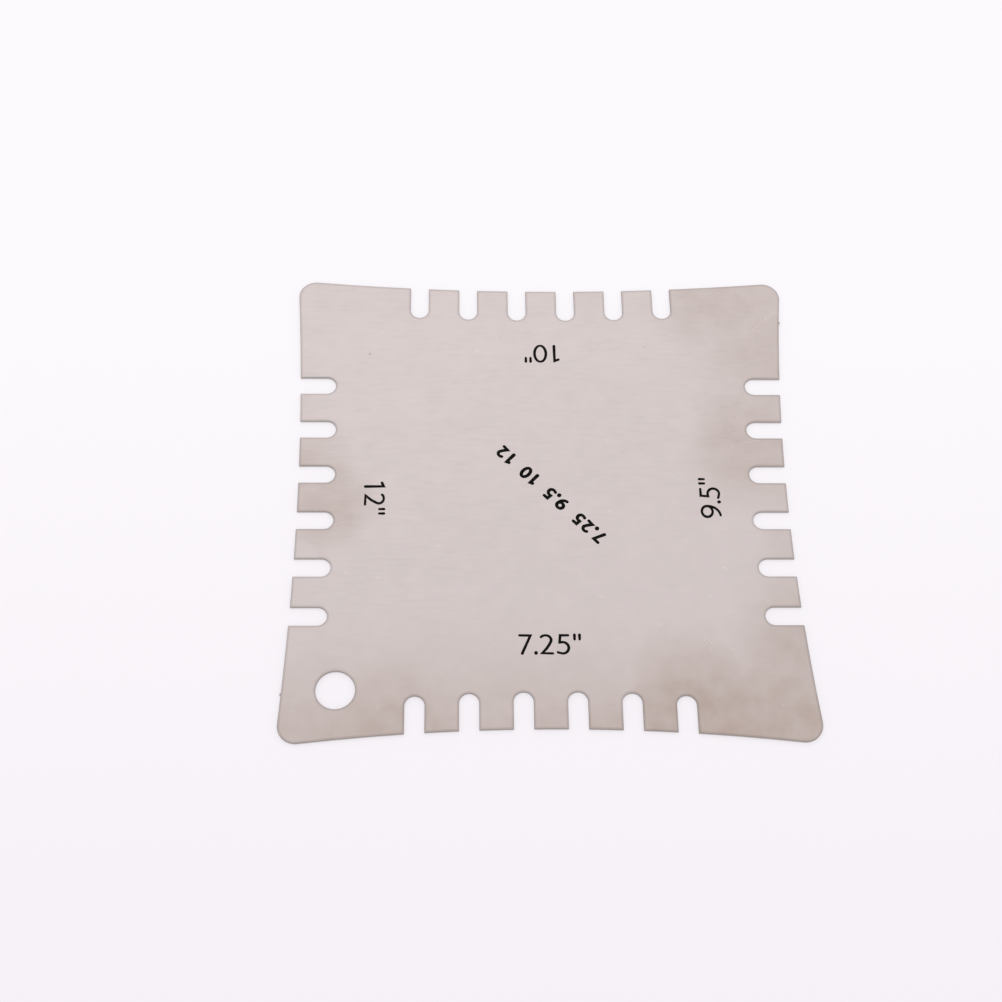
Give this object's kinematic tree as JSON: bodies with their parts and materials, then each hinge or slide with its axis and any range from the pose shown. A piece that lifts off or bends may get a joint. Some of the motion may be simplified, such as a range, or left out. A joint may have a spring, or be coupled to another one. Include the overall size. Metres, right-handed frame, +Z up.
{
  "type": "radius gauge",
  "caption": "Flat square sheet-steel gauge with a shallow concave arc on each side, a row of open round-ended string slots along each arc and a hanging hole in one corner.",
  "frame": {"origin": "centre of the plate's underside, the face that it lies on", "axes": "+Z up out of the marked face, +X towards the right side and +Y towards the back side as the figures on the front side are read; the hanging hole is in the corner at -X -Y"},
  "size_m": [0.0883, 0.0881, 0.0005],
  "materials": {
    "brushed_steel": "satin, fine straight brush lines along X",
    "black_marking": "matt black figures marked on the top face"
  },
  "bodies": {
    "root": {"gauge_plate": "brushed_steel"}
  },
  "joints": []
}
